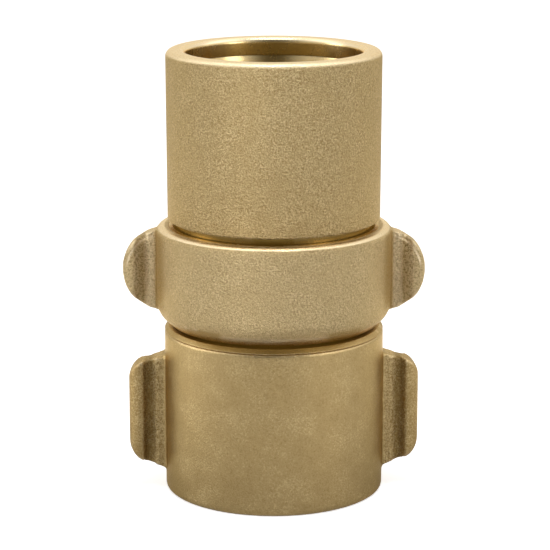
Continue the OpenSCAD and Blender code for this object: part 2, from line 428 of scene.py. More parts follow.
def profile_edges(bm, corners, segments):
    """A closed outline in the XZ plane. Corners are radius, height and rounding, in millimetres."""
    points = [bm.verts.new((x * MM, 0.0, z * MM)) for x, z, _ in corners]
    face = bm.faces.new(points)
    rounds = sorted({corner[2] for corner in corners if corner[2] > 0})
    for rounding in rounds:
        for point, corner in zip(points, corners):
            if corner[2] == rounding:
                round_corner(bm, point, rounding * MM, segments)
    bmesh.ops.delete(bm, geom=list(bm.faces), context="FACES_ONLY")
    return list(bm.verts) + list(bm.edges)


def round_corner(bm, point, rounding, segments):
    """Rounds one corner of a flat outline by the radius given."""
    ways = [(edge.other_vert(point).co - point.co).normalized() for edge in point.link_edges]
    half = ways[0].angle(ways[1]) / 2
    bmesh.ops.bevel(
        bm,
        geom=[point],
        offset=rounding / math.tan(half),
        offset_type="OFFSET",
        affect="VERTICES",
        segments=segments,
        profile=0.5,
        material=-1,
    )


def spun(bm, geom, turns, steps, rise=0.0):
    """Turns an outline about Z, rising at each step by a length in metres."""
    bmesh.ops.spin(
        bm,
        geom=geom,
        cent=(0.0, 0.0, 0.0),
        axis=(0.0, 0.0, 1.0),
        dvec=(0.0, 0.0, rise),
        angle=math.tau * turns,
        steps=steps,
        use_merge=rise == 0.0,
        use_duplicate=False,
    )


def turned(name, corners, steps, segments=6):
    """A turned piece from the outline of its section."""
    bm = bmesh.new()
    spun(bm, profile_edges(bm, corners, segments), 1.0, steps)
    bmesh.ops.remove_doubles(bm, verts=list(bm.verts), dist=1e-6)
    bmesh.ops.recalc_face_normals(bm, faces=list(bm.faces))
    return finished(name, bm)


def helix(name, section, turns, pitch):
    """A ridge that winds up about Z. The section's corners are radius and height."""
    bm = bmesh.new()
    face = bm.faces.new([bm.verts.new((x * MM, 0.0, z * MM)) for x, z in section])
    steps = round(turns * HELIX_STEPS)
    spun(bm, [face], turns, steps, pitch * MM * turns / steps)
    bmesh.ops.recalc_face_normals(bm, faces=list(bm.faces))
    return finished(name, bm)


def finished(name, bm):
    """The bmesh as an object of the scene, smooth but for its sharp edges."""
    mesh = bpy.data.meshes.new(name)
    bm.to_mesh(mesh)
    bm.free()
    piece = bpy.data.objects.new(name, mesh)
    bpy.context.collection.objects.link(piece)
    shade(piece)
    return piece


def shade(piece, smooth_angle=40):
    """Smooth shading, but for edges sharper than the angle."""
    mesh = piece.data
    mesh.polygons.foreach_set("use_smooth", [True] * len(mesh.polygons))
    mesh.set_sharp_from_angle(angle=math.radians(smooth_angle))


def prism(name, corners, low, high, way):
    """A flat outline drawn out along Z from above, or along Y from the front."""
    bm = bmesh.new()
    upright = way == "Y"
    points = []
    for x, across, _ in corners:
        spot = (x, low, across) if upright else (x, across, low)
        points.append(bm.verts.new([value * MM for value in spot]))
    bm.faces.new(points)
    for point, corner in zip(points, corners):
        if corner[2] > 0:
            round_corner(bm, point, corner[2] * MM, PRISM_SEGMENTS)
    made = bmesh.ops.extrude_face_region(bm, geom=list(bm.faces))
    moved = [item for item in made["geom"] if isinstance(item, bmesh.types.BMVert)]
    run = (high - low) * MM
    bmesh.ops.translate(bm, verts=moved, vec=(0.0, run, 0.0) if upright else (0.0, 0.0, run))
    bmesh.ops.recalc_face_normals(bm, faces=list(bm.faces))
    return finished(name, bm)


def applied(piece):
    """Makes the piece's modifiers part of its mesh."""
    graph = bpy.context.evaluated_depsgraph_get()
    mesh = bpy.data.meshes.new_from_object(piece.evaluated_get(graph))
    piece.modifiers.clear()
    piece.data = mesh
    return piece


def combined(piece, other, operation):
    """Adds, cuts or keeps the common part of two closed pieces, and removes the second."""
    step = piece.modifiers.new("combine", "BOOLEAN")
    step.operation = operation
    step.solver = "EXACT"
    step.object = other
    applied(piece)
    bpy.data.objects.remove(other)
    return piece


def joined(piece, others):
    """One object from several; their faces keep their material numbers."""
    bm = bmesh.new()
    bm.from_mesh(piece.data)
    for other in others:
        bm.from_mesh(other.data)
        bpy.data.objects.remove(other)
    bm.to_mesh(piece.data)
    bm.free()
    return piece


def cast_skin(piece, voxel):
    """Melts a piece's solids into one casting with soft corners."""
    step = piece.modifiers.new("melt", "REMESH")
    step.mode = "VOXEL"
    step.voxel_size = voxel * MM
    step.adaptivity = 0.0
    applied(piece)
    bm = bmesh.new()
    bm.from_mesh(piece.data)
    soft = list(bm.verts)
    for _ in range(SKIN_ROUNDS):
        bmesh.ops.smooth_vert(
            bm, verts=soft, factor=0.5, use_axis_x=True, use_axis_y=True, use_axis_z=True
        )
    bm.to_mesh(piece.data)
    bm.free()
    shade(piece, 180)
    return piece


def coated(piece, materials, choose=None):
    """Gives a piece its materials, chosen for each face by its middle."""
    piece.data.materials.clear()
    for material in materials:
        piece.data.materials.append(material)
    if choose:
        for face in piece.data.polygons:
            face.material_index = choose(face.center / MM)
    return piece


def recoat(node, material):
    """Gives a CAD node a material."""
    for slot in bpy.data.objects[node].material_slots:
        slot.material = material


# Settings


def number(name, description, default, **kind):
    return FloatProperty(name=name, description=description, default=default, **kind)


def length(name, description, default, precision=5):
    return number(name, description, default, unit="LENGTH", precision=precision)


def angle(name, description, default):
    return number(name, description, default, subtype="ANGLE")


def count(name, description, default, low, high):
    return IntProperty(name=name, description=description, default=default, min=low, max=high)


def metal(name, description, default):
    return FloatVectorProperty(
        name=name, description=description, default=default, subtype="COLOR", min=0.0, max=1.0
    )


class CouplingBowls(bpy.types.PropertyGroup):
    """Sizes of the two hose bowls and the neck between them."""

    mouth_bore: length("Mouth bore radius", "Radius of the smooth bore in each mouth", 0.0233)
    mouth_round: length("Inner mouth rounding", "Rounding of each mouth's inner edge", 0.0014)
    lip_depth: length("Lip depth", "Depth of the smooth bore", 0.0047)
    grip_pitch: length("Grip ring pitch", "Distance between the rings that grip the hose", 0.0044)
    grip_depth: length("Grip ring depth", "Depth of the groove behind each ring", 0.001)
    grip_crest: length("Grip ring crest", "Straight length on each ring", 0.0007)
    grips: count("Grip rings", "Rings in each bowl", 5, 1, 5)
    waterway: length("Waterway radius", "Radius of the bore through the coupling", 0.019)
    upper_mouth: length("Upper bowl radius", "Outer radius at the upper mouth", 0.0285)
    upper_foot: length("Upper bowl foot radius", "Outer radius at the bowl's lower end", 0.0283)
    rim_round: length("Rim rounding", "Rounding of the upper mouth's outer edge", 0.0017)
    lower_radius: length("Lower bowl radius", "Outer radius of the lower hose bowl", 0.02935)
    foot_round: length("Foot rounding", "Rounding of the lower mouth's outer edge", 0.0008)
    shoulder: length("Shoulder height", "Height of the lower bowl's shoulder", 0.0442)
    shoulder_rise: length("Shoulder rise", "Height of the shoulder's chamfer", 0.001)
    shoulder_run: length("Shoulder run", "Width of the shoulder's chamfer", 0.001)
    parting_line: length("Shoulder line", "Height of the line under the chamfer", 0.00025)
    neck_radius: length("Neck radius", "Radius of the machined neck over the shoulder", 0.0247)
    neck_height: length("Neck height", "Height of the neck under the thread", 0.00395)
    segments: count("Segments", "Flat steps round the axis", 256, 48, 512)


class CouplingSwivel(bpy.types.PropertyGroup):
    """Sizes of the swivel ring and of the neck that it turns on."""

    neck_radius: length("Tailpiece neck radius", "Radius of the neck in the swivel", 0.0261)
    clearance: length("Clearance", "Room between the neck and the ring", 0.0003)
    bowl_gap: length("Upper gap", "Gap between the ring and the upper bowl", 0.0018)
    bevel: length("Bevel", "Bevel at the ring's upper inner edge", 0.0006)
    top_round: length("Upper rounding", "Rounding of the ring's upper edge", 0.0018)
    foot_round: length("Lower rounding", "Rounding between the wall and the tapered foot", 0.00495)
    foot_rise: length("Foot height", "Height of the tapered foot", 0.0035)
    foot_run: length("Foot run", "Distance that the foot tapers in from the wall", 0.00405)
    race_radius: length("Race radius", "Radius of the ball race's round groove", 0.00243)
    plug_radius: length("Filling hole radius", "Radius of the hole the balls go in by", 0.0027)
    lead_in: length("Lead-in", "Chamfer where the thread begins", 0.0008)
    voxel: length("Casting cell", "Cell that melts the lugs into a casting", 0.00042)


class CouplingLugs(bpy.types.PropertyGroup):
    """Sizes of the half-round lugs and the tall lugs."""

    round_radius: length("Round lug radius", "Radius seen from the front", 0.0109)
    round_rise: length("Round lug height", "Height of the middle over the ring's foot", 0.0146)
    round_stem: length("Round lug stem", "Width of the stem", 0.0054)
    round_head: length("Round lug head", "Radius of the head seen from above", 0.0028)
    round_groove_run: length("Trough place", "Distance of the trough from the wall", 0.0041)
    round_groove_radius: length("Trough radius", "Radius of the trough", 0.0017)
    round_groove_depth: length("Trough depth", "Depth of the trough in the stem", 0.0010)
    tall_foot: length("Tall lug foot", "Height of the root's lower end", 0.0055)
    tall_height: length("Tall lug height", "Height of the root", 0.0315)
    tall_corner: length("Tall lug corner", "Rounding seen from the front", 0.0055)
    tall_stem: length("Tall lug stem", "Width of the stem", 0.0068)
    tall_head: length("Tall lug head", "Radius of the head seen from above", 0.0036)
    tall_groove_run: length("Groove place", "Distance of the groove from the wall", 0.0042)
    tall_groove_radius: length("Groove radius", "Radius of the hook groove", 0.0018)
    tall_groove_depth: length("Groove depth", "Depth of the groove in the stem", 0.0011)
    tall_top_slope: angle("Upper slope", "Slope of the upper edge", 0.2443)
    tall_foot_slope: angle("Lower slope", "Slope of the lower edge", 0.3316)
    tall_turn: angle("Turn", "Turn of the tall lugs about the axis", 0.0436)


class CouplingThread(bpy.types.PropertyGroup):
    """The hose thread, which the CAD model leaves plain."""

    pitch: length("Pitch", "Rise in one turn", 0.0028222, 6)
    crest_radius: length("Male crest radius", "Radius over the male thread", 0.02527)
    root_radius: length("Male root radius", "Radius at the foot of the male thread", 0.02375)
    female_crest: length("Female crest radius", "Radius inside the female thread", 0.0241)
    female_root: length("Female root radius", "Radius at the foot of the female thread", 0.02577)
    crest_width: length("Crest width", "Flat on each crest", 0.00036)


class CouplingFinish(bpy.types.PropertyGroup):
    """Colours of the metals and the rubber."""

    brass: metal(
        "Brass", "Brass casting, between its pits and its bright grains", (0.51, 0.375, 0.178)
    )
    brass_dark: metal(
        "Brass, pits", "Brass casting in the pits of its grain", (0.36, 0.245, 0.10)
    )
    brass_light: metal(
        "Brass, grains", "Brass casting on its bright grains", (0.70, 0.545, 0.295)
    )
    # Also painted as shade in troughs, corners and gaps, and inside the pits
    brass_shade_and_dirt: metal(
        "Brass, dirt", "Brass casting where dirt and tarnish stay", (0.165, 0.10, 0.022)
    )
    # Also painted as highlights on rims, edges and the ring's lug stems
    brass_sheen_and_wear: metal(
        "Brass, rubbed", "Brass casting where handling rubbed it bright", (0.84, 0.69, 0.45)
    )
    cut_brass: metal("Machined brass", "Brass where a tool cut it", (0.60, 0.455, 0.225))
    rubber: metal("Rubber", "Gasket rubber", (0.018, 0.018, 0.018))
    steel: metal("Ball steel", "Steel of the bearing balls", (0.62, 0.62, 0.64))


class CouplingStage(bpy.types.PropertyGroup):
    """Camera and light."""

    camera_distance: length(
        "Camera distance", "Distance of the camera from the axis, along the floor", 0.6093
    )
    camera_height: length("Camera height", "Height over the floor", 0.2026)
    camera_tilt: angle("Camera tilt", "How far the camera looks down", 0.2327)
    focal_length: number("Focal length", "Lens for a 36 mm wide sensor", 152.9, unit="CAMERA")
    room_light: number("Room light", "Brightness of the room in front of the object", 0.62)
    front_glow: number("Front floor", "Glow that metal sees on the floor in front", 0.0)
    back_glow: number("Back floor", "Glow that metal sees on the floor behind", 0.42)
    lamp_power: number("Lamp power", "Power of each side lamp", 1.6, unit="POWER")


# Operators

# Height of the ball race, in millimetres as the lengths below
RACE_HEIGHT = (PLUG_LOW.z + PLUG_HIGH.z) / 2 / MM
# Share of the clearance that the collar over the race takes up
COLLAR_SHARE = 0.75
# Length of the bar that opens the filling hole, and half the depth of a lug's front outline
BAR_LENGTH = 10.0
LUG_HALF_DEPTH = 12.0
# Slope of a thread's flanks, and how far the ridge reaches into the wall under it
FLANK_ANGLE = math.radians(30)
RIDGE_SUNK = 0.25
# Thickness of the lower bowl's cast skin, and the tall lugs' reach from its wall
LOWER_SKIN = 2.6
TALL_REACH = 9.85
# The lower casting's cell, as a share of the ring's
LOWER_CELL = 1.18


# The places below fade in and out between two distances in millimetres, and 1 is fully there


def blasted_finish(scene):
    """The blasted brass of the upper bowl and the swivel ring."""
    lug = scene.coupling_lugs
    rim = TAIL_HIGH.z / MM
    top, foot, wall = RING_HIGH.z / MM, RING_LOW.z / MM, RING_HIGH.y / MM
    radius, trough = lug.round_radius / MM, wall + lug.round_groove_run / MM
    lug_side, lug_middle = RING_HIGH.x / MM - radius, foot + lug.round_rise / MM
    lug_top = lug.round_rise / MM + radius

    def painted_highlights(s, where):
        """Painted highlights on the upper mouth's rim, the ring's upper edge, its foot, its lugs'
        stems and the edges of its lugs, and a little of that colour over all the ring.
        """
        height, away = s.part(where, "Z"), s.from_axis(where)
        over_top = height - top
        on_ring = 1.0 - over_top.mapped(0.3, 0.6)
        edge = over_top.mapped(-0.9, -0.5) * away.mapped(wall - 2.4, wall - 2.0)
        tapered = (height - foot).mapped(3.4, 1.4)
        stems = away.mapped(wall + 0.4, wall + 0.8) * away.mapped(trough - 0.6, trough - 1.4)

        # A painted highlight line just inside the upper half of each lug's round outline
        up, beside = height - lug_middle, s.part(where, "X").unsigned() - lug_side
        arc = (beside * beside + up * up) ** 0.5
        line = arc.mapped(radius - 1.6, radius - 1.4) * arc.mapped(radius - 0.9, radius - 1.1)
        line = line * up.mapped(0.0, 3.0) * away.mapped(wall + 0.8, wall + 1.2)
        ring = on_ring * (edge + tapered * 0.85 + stems * 0.4 + line + 0.13)
        return height.mapped(rim - 1.4, rim - 0.5) + ring

    def painted_foot_shade(s, where):
        """Painted shade on the ring's foot, beside its front and in its middle, and on its wall
        next to the lugs.
        """
        height, away = s.part(where, "Z") - foot, s.from_axis(where)
        beside = s.part(where, "X").unsigned()
        sides = height.mapped(4.2, 2.6) * beside.mapped(12.8, 15.0) * beside.mapped(24.0, 21.5)
        middle = height.mapped(1.0, 0.5) * beside.mapped(6.0, 3.5)
        edge = height.mapped(0.5, 0.2)
        darkened = (sides * 0.8 + middle + edge) * height.mapped(-0.3, -0.1)
        by_lugs = beside.mapped(wall - 3.2, wall - 1.2) * away.mapped(wall + 0.4, wall + 0.1)
        along_lugs = (height - lug_top).mapped(1.0, -1.0) * height.mapped(3.0, 6.0)
        return darkened + by_lugs * along_lugs * 0.7

    cast_brass(
        "blasted brass", scene.coupling_finish, BLASTED, wall, trough, painted_highlights, painted_foot_shade
    )


def tumbled_finish(scene):
    """The tumbled brass of the lower bowl."""
    bowls = scene.coupling_bowls
    shoulder, wall = bowls.shoulder / MM, bowls.lower_radius / MM
    trough = wall + scene.coupling_lugs.tall_groove_run / MM + 0.2

    def painted_shoulder_shade(s, where):
        """Painted shade on the shoulder's chamfer in front, under the swivel ring."""
        front = s.part(where, "X").unsigned().mapped(26.0, 14.0, 0.1, 0.85)
        return s.part(where, "Z").mapped(shoulder - 0.15, shoulder + 0.1) * front

    cast_brass(
        "tumbled brass",
        scene.coupling_finish,
        TUMBLED,
        wall,
        trough,
        painted_shade=painted_shoulder_shade,
        pits=RIGHT_LUG_PITS,
    )


def machined_finish(scene):
    """The machined brass of the mouths, the necks and the nose."""
    bowls, swivel = scene.coupling_bowls, scene.coupling_swivel
    rim, top, foot = TAIL_HIGH.z / MM, RING_HIGH.z / MM, RING_LOW.z / MM
    shoulder, lip = bowls.shoulder / MM, rim - bowls.lip_depth / MM
    neck = (swivel.neck_radius + swivel.clearance) / MM

    def painted_rim_highlight(s, where):
        """Painted highlight on the upper mouth's rim, inside the casting's skin."""
        return s.part(where, "Z").mapped(rim - 1.1, rim - 0.7)

    def painted_gap_shade(s, where):
        """Painted shade in the upper mouth above its first grip ring, on that ring's middle, and in
        the two gaps.
        """
        height, away = s.part(where, "Z"), s.from_axis(where)
        beside = s.part(where, "X").unsigned()
        mouth = height.mapped(rim - 1.2, rim - 1.8) * height.mapped(lip - 0.2, lip)
        mouth = mouth * beside.mapped(22.0, 8.0, 0.4, 0.85)
        first = height.mapped(lip, lip - 0.2) * beside.mapped(6.0, 2.0)
        bevel = away.mapped(neck + 2.4, neck + 2.0) * height.mapped(top - 0.1, top - 0.3)
        upper_gap = away.mapped(neck + 0.8, neck + 0.4) + bevel
        upper_gap = upper_gap * height.mapped(top + 2.2, top + 2.0)
        upper_gap = upper_gap * height.mapped(top - 4.0, top - 3.0)
        lower_gap = height.mapped(shoulder - 0.1, shoulder) * height.mapped(foot + 0.8, foot + 0.5)
        return mouth + first * 0.6 + upper_gap * 0.85 + lower_gap * 0.7

    machined_brass("machined brass", scene.coupling_finish, 0.26, 0.02, painted_gap_shade, painted_rim_highlight)


def brass_finishes():
    """The blasted, tumbled, machined and drawn brass, made once."""
    names = ("blasted brass", "tumbled brass", "machined brass", "drawn brass")
    if names[0] not in bpy.data.materials:
        scene = bpy.context.scene
        blasted_finish(scene)
        tumbled_finish(scene)
        machined_finish(scene)
        machined_brass("drawn brass", scene.coupling_finish, 0.3, 0.01)
    return [bpy.data.materials[name] for name in names]


def bowl_corners(bowls, pocket_depth, flip):
    """The inside of a hose bowl, from mouth to floor. flip turns a depth into a height."""
    bore, lip, pitch = bowls.mouth_bore / MM, bowls.lip_depth / MM, bowls.grip_pitch / MM
    depth, crest = bowls.grip_depth / MM, bowls.grip_crest / MM
    corners = [(bore, flip(0.0), bowls.mouth_round / MM), (bore, flip(lip), 0.0)]
    for ring in range(bowls.grips):
        start = lip + ring * pitch
        corners += [
            (bore + depth, flip(start), 0.0),
            (bore, flip(start + pitch - crest), 0.0),
            (bore, flip(start + pitch), 0.0),
        ]
    corners += [
        (bore + depth, flip(lip + bowls.grips * pitch), 0.0),
        (bore + depth, flip(pocket_depth), 0.0),
        (bowls.waterway / MM, flip(pocket_depth), 0.0),
    ]
    return corners


def race_corners(wall, radius, way):
    """The ball race's groove in a wall, from below. way is -1 in the neck and 1 in the ring."""
    steps, deep = 8, way * 0.97
    angles = [math.pi * step / steps for step in range(steps + 1)]
    return [
        (wall + deep * radius * math.sin(a), RACE_HEIGHT - radius * math.cos(a), 0.0)
        for a in angles
    ]


class COUPLING_OT_female_tailpiece(bpy.types.Operator):
    """Turn the upper hose bowl with its grip rings, collar, neck and ball race"""

    bl_idname = "coupling.female_tailpiece"
    bl_label = "Upper Hose Bowl"

    def execute(self, context):
        bowls, swivel = context.scene.coupling_bowls, context.scene.coupling_swivel
        top, foot = TAIL_HIGH.z / MM, TAIL_LOW.z / MM
        root = (RING_HIGH.z + swivel.bowl_gap) / MM
        neck, race_radius = swivel.neck_radius / MM, swivel.race_radius / MM
        corners = bowl_corners(bowls, top - UPPER_POCKET.z / MM, lambda depth: top - depth)
        corners += [(bowls.waterway / MM, foot, 0.6), (neck, foot, 0.4)]
        corners += race_corners(neck, race_radius, -1)
        collar = neck + swivel.clearance / MM * COLLAR_SHARE
        collar_foot = RACE_HEIGHT + race_radius + 0.5
        corners += [
            (neck, collar_foot - 0.2, 0.0),
            (collar, collar_foot, 0.0),
            (collar, root, 0.0),
            (bowls.upper_foot / MM, root, 0.5),
            (bowls.upper_mouth / MM, top, bowls.rim_round / MM),
        ]
        piece = turned("upper_bowl", corners, bowls.segments, 8)
        blasted, _, machined, _ = brass_finishes()
        cut_mouth, cut_foot = bowls.mouth_bore / MM + 1.5, root + 0.01

        def finish_at(middle):
            """1 where the mouth, the neck and the face over it are cut by a tool."""
            return 1 if middle.xy.length < cut_mouth or middle.z < cut_foot else 0

        coated(piece, [blasted, machined], finish_at)
        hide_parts("female_tailpiece")
        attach(piece, "female_half")
        return {"FINISHED"}


class COUPLING_OT_swivel_ring(bpy.types.Operator):
    """Cast the swivel ring with its two half-round lugs and cut its bevel, race, filling hole and
    thread
    """

    bl_idname = "coupling.swivel_ring"
    bl_label = "Swivel Ring"

    def execute(self, context):
        swivel, lug = context.scene.coupling_swivel, context.scene.coupling_lugs
        thread, steps = context.scene.coupling_thread, context.scene.coupling_bowls.segments
        blasted, _, machined, _ = brass_finishes()
        low, high = RING_LOW.z / MM, RING_HIGH.z / MM
        outer, tip = RING_HIGH.y / MM, RING_HIGH.x / MM
        bevel, neck_bore = swivel.bevel / MM, (swivel.neck_radius + swivel.clearance) / MM
        bore, lead_in, seat = thread.female_root / MM, swivel.lead_in / MM, GASKET_LOW.z / MM

        # The casting and its machined core meet at a seam inside the ring, and overlap there
        seam_top, seam = neck_bore + bevel + 1.0, neck_bore + swivel.race_radius / MM + 0.7
        overlap = 0.2
        outline = [
            (bore + lead_in, low, 0.0),
            (outer - swivel.foot_run / MM, low, 0.0),
            (outer, low + swivel.foot_rise / MM, swivel.foot_round / MM),
            (outer, high, swivel.top_round / MM),
            (seam_top - overlap, high, 0.0),
            (seam_top - overlap, high - 2.0, 0.0),
            (seam - overlap, high - 2.4, 0.0),
            (seam - overlap, seat + 2.0, 0.0),
            (bore + 0.4, seat - 1.2, 0.0),
            (bore + 0.4, low + lead_in - 0.4, 0.0),
        ]
        shell = turned("swivel_casting", outline, steps, 10)
        stem, head = lug.round_stem / MM, lug.round_head / MM
        radius, groove = lug.round_radius / MM, lug.round_groove_radius / MM
        groove_x = outer + lug.round_groove_run / MM
        groove_y = stem / 2 + groove - lug.round_groove_depth / MM
        lugs = hook_lugs(
            "swivel_lug",
            plan_corners(seam + overlap, tip, stem, head),
            (groove_x, groove_y, groove),
            round_front(tip - radius, low + lug.round_rise / MM, radius),
            (low, high),
        )
        cast_skin(joined(shell, lugs), swivel.voxel / MM)
        corners = [
            (bore, seat, 0.0),
            (bore, low + lead_in, 0.0),
            (bore + lead_in - 0.02, low + 0.02, 0.0),
            (bore + lead_in, low + 0.4, 0.0),
            (bore + lead_in, seat - 1.4, 0.0),
            (seam, seat + 1.8, 0.0),
            (seam, high - 2.3, 0.0),
            (seam_top, high - 1.8, 0.0),
            (seam_top, high + 0.01, 0.0),
            (neck_bore + bevel, high + 0.01, 0.0),
            (neck_bore, high - bevel, 0.0),
        ]
        corners += reversed(race_corners(neck_bore, swivel.race_radius / MM, 1))
        corners.append((neck_bore, seat, 0.0))
        core = turned("swivel_core", corners, steps, 4)
        at_back, backwards = (0.0, outer, RACE_HEIGHT), Matrix.Rotation(math.radians(90), 4, "X")
        for piece in (shell, core):
            bar = round_bar(swivel.plug_radius / MM, BAR_LENGTH, at_back, backwards)
            combined(piece, bar, "DIFFERENCE")
        shade(shell, 60)
        shade(core)
        coated(shell, [blasted])
        coated(core, [machined])
        ridge = thread_ridge("swivel_thread", thread, False, low + 1.0, seat - 0.3)
        coated(ridge, [machined])
        for piece in (shell, core, ridge):
            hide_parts("swivel_ring")
            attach(piece, "swivel")
        return {"FINISHED"}


def round_bar(radius, length, place, turn=Matrix()):
    """A round bar along Z, turned and then placed, that a hole or groove is cut with."""
    bm = bmesh.new()
    bmesh.ops.create_cone(
        bm,
        cap_ends=True,
        cap_tris=False,
        segments=48,
        radius1=radius * MM,
        radius2=radius * MM,
        depth=length * MM,
        matrix=Matrix.Translation([value * MM for value in place]) @ turn,
    )
    return finished("bar", bm)


def plan_corners(inner, tip, stem_width, head_radius):
    """A lug from above: a stem from the wall, and a round head at its end."""
    half, head = stem_width / 2, tip - head_radius
    # The head's arc begins just inside the stem's width
    steps, meet = 20, 0.98
    begin = math.pi - math.asin(min(1.0, half / head_radius) * meet)
    corners = [(inner, -half, 0.0)]
    for step in range(steps + 1):
        angle = -begin + 2 * begin * step / steps
        along, across = head_radius * math.cos(angle), head_radius * math.sin(angle)
        corners.append((head + along, across, 0.0))
    corners.append((inner, half, 0.0))
    return corners


def round_front(centre, height, radius):
    """The front of a half-round lug."""
    steps = 72
    angles = [math.tau * step / steps for step in range(steps)]
    return [(centre + radius * math.cos(a), height + radius * math.sin(a), 0.0) for a in angles]


def hook_lugs(name, plan, groove, front, levels):
    """Two opposite lugs of a given plan and front, with the spanner's grooves down their faces."""
    low, high = levels
    groove_x, groove_y, groove_r = groove
    lugs = []
    for side in (1, -1):
        lug = prism(f"{name}_{side}", plan, low, high, "Z")
        for face in (1, -1):
            place = (groove_x, face * groove_y, (low + high) / 2)
            combined(lug, round_bar(groove_r, high - low + 4, place), "DIFFERENCE")
        combined(lug, prism("front", front, -LUG_HALF_DEPTH, LUG_HALF_DEPTH, "Y"), "INTERSECT")
        if side < 0:
            lug.data.transform(Matrix.Rotation(math.pi, 4, "Z"))
        lugs.append(lug)
    return lugs


def thread_ridge(name, thread, male, low, high):
    """One thread's ridge between two heights. Both follow one helix, half a pitch apart."""
    pitch = thread.pitch / MM
    crest = (thread.crest_radius if male else thread.female_crest) / MM
    foot = (thread.root_radius if male else thread.female_root) / MM
    rise = abs(crest - foot)
    crest_half = thread.crest_width / MM / 2
    foot_half = crest_half + rise * math.tan(FLANK_ANGLE)
    sunk = foot + (-RIDGE_SUNK if male else RIDGE_SUNK)
    phase = 0.0 if male else pitch / 2
    start = math.ceil((low + foot_half - phase) / pitch) * pitch + phase
    turns = (high - foot_half - start) / pitch
    section = [
        (sunk, start - foot_half),
        (foot, start - foot_half),
        (crest, start - crest_half),
        (crest, start + crest_half),
        (foot, start + foot_half),
        (sunk, start + foot_half),
    ]
    return helix(name, section, turns, pitch)


class COUPLING_OT_male_half(bpy.types.Operator):
    """Cast the lower hose bowl with its tall lugs, and turn its neck and threaded nose"""

    bl_idname = "coupling.male_half"
    bl_label = "Male Half"

    def execute(self, context):
        bowls, lug = context.scene.coupling_bowls, context.scene.coupling_lugs
        swivel, thread = context.scene.coupling_swivel, context.scene.coupling_thread
        outer, shoulder = bowls.lower_radius / MM, bowls.shoulder / MM
        neck_foot, seam = shoulder + bowls.shoulder_rise / MM, outer - LOWER_SKIN
        neck, root, nose = bowls.neck_radius / MM, thread.root_radius / MM, MALE_HIGH.z / MM
        thread_foot, line = neck_foot + bowls.neck_height / MM, bowls.parting_line / MM
        _, tumbled, machined, _ = brass_finishes()

        outline = [(seam, 0.0, 0.0), (outer, 0.0, bowls.foot_round / MM)]
        outline += [(outer, shoulder - line, 0.0), (seam, shoulder - line, 0.0)]
        shell = turned("lower_casting", outline, bowls.segments)
        stem, head = lug.tall_stem / MM, lug.tall_head / MM
        turn = Matrix.Rotation(lug.tall_turn, 4, "Z")
        tip, root_inside = outer + TALL_REACH, seam + 0.4
        foot, top = lug.tall_foot / MM, (lug.tall_foot + lug.tall_height) / MM
        groove, groove_x = lug.tall_groove_radius / MM, outer + lug.tall_groove_run / MM
        groove_y = stem / 2 + groove - lug.tall_groove_depth / MM
        front = [
            (root_inside, foot, 0.0),
            (outer, foot, 0.0),
            (tip, foot + TALL_REACH * math.tan(lug.tall_foot_slope), lug.tall_corner / MM),
            (tip, top - TALL_REACH * math.tan(lug.tall_top_slope), lug.tall_corner / MM),
            (outer, top, 0.0),
            (root_inside, top, 0.0),
        ]
        plan, hook = plan_corners(root_inside, tip, stem, head), (groove_x, groove_y, groove)
        lugs = hook_lugs("tall_lug", plan, hook, front, (0.0, shoulder))
        for made in lugs:
            made.data.transform(turn)
        cast_skin(joined(shell, lugs), swivel.voxel / MM * LOWER_CELL)
        coated(shell, [tumbled])

        corners = bowl_corners(bowls, LOWER_POCKET.z / MM, lambda depth: depth)
        corners += [
            (bowls.waterway / MM, nose, 0.5),
            (root - 0.9, nose, 0.0),
            (root, nose - 0.6, 0.0),
            (root, thread_foot, 0.0),
            (neck, thread_foot - 0.6, 0.0),
            (neck, neck_foot, 0.6),
            (outer - bowls.shoulder_run / MM, neck_foot, 0.15),
            (outer - 0.03, shoulder, 0.1),
            (outer - 0.03, shoulder - line * 0.5, 0.0),
            (outer - line * 1.4, shoulder - line * 1.5, 0.0),
            (seam + 1.0, shoulder - line * 2.5, 0.0),
            (seam + 1.0, 0.0, 0.0),
        ]
        core = turned("lower_core", corners, bowls.segments)
        chamfer_low, chamfer_high = shoulder - 0.7, neck_foot + 0.02

        def core_finish(middle):
            """1 on the shoulder and its chamfer, which are tumbled with the casting."""
            on_chamfer = chamfer_low < middle.z < chamfer_high
            return 1 if middle.xy.length > neck + 0.5 and on_chamfer else 0

        coated(core, [machined, tumbled], core_finish)

        ridge = thread_ridge("nose_thread", thread, True, thread_foot - 0.35, nose - 0.4)
        coated(ridge, [machined])
        for piece in (shell, core, ridge):
            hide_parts("male_body")
            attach(piece, "male_half")
        return {"FINISHED"}


class COUPLING_OT_inner_pieces(bpy.types.Operator):
    """Finish the gaskets, the expansion rings, the filling plug and the bearing balls"""

    bl_idname = "coupling.inner_pieces"
    bl_label = "Gaskets, Rings and Balls"

    def execute(self, context):
        finish = context.scene.coupling_finish
        _, _, machined, drawn = brass_finishes()
        rubber = moulded_rubber("gasket rubber", finish.rubber)
        steel = ground_steel("ball steel", finish.steel)
        for node in ("swivel_gasket", "male_tail_gasket", "female_tail_gasket"):
            recoat(node, rubber)
        for node in ("male_expansion_ring", "female_expansion_ring"):
            recoat(node, drawn)
        recoat("race_plug", machined)
        for node in BALL_NODES:
            recoat(node, steel)
        return {"FINISHED"}


# Stage, in metres

FLOOR_HALF = 3.0
LAMPS_AIM = Vector((0.0, 0.0, 0.06))
# Name, place, size, and share of the lamp power
LAMPS = (
    ("left lamp", (-1.0, 0.0, 0.3), 0.42, 1.2),
    ("right lamp", (0.72, -0.52, 0.3), 0.34, 0.8),
    ("top lamp", (0.0, -0.12, 0.8), 0.3, 1.3),
)
CAMERA_SIDE = 0.0003
SENSOR_WIDTH = 36.0


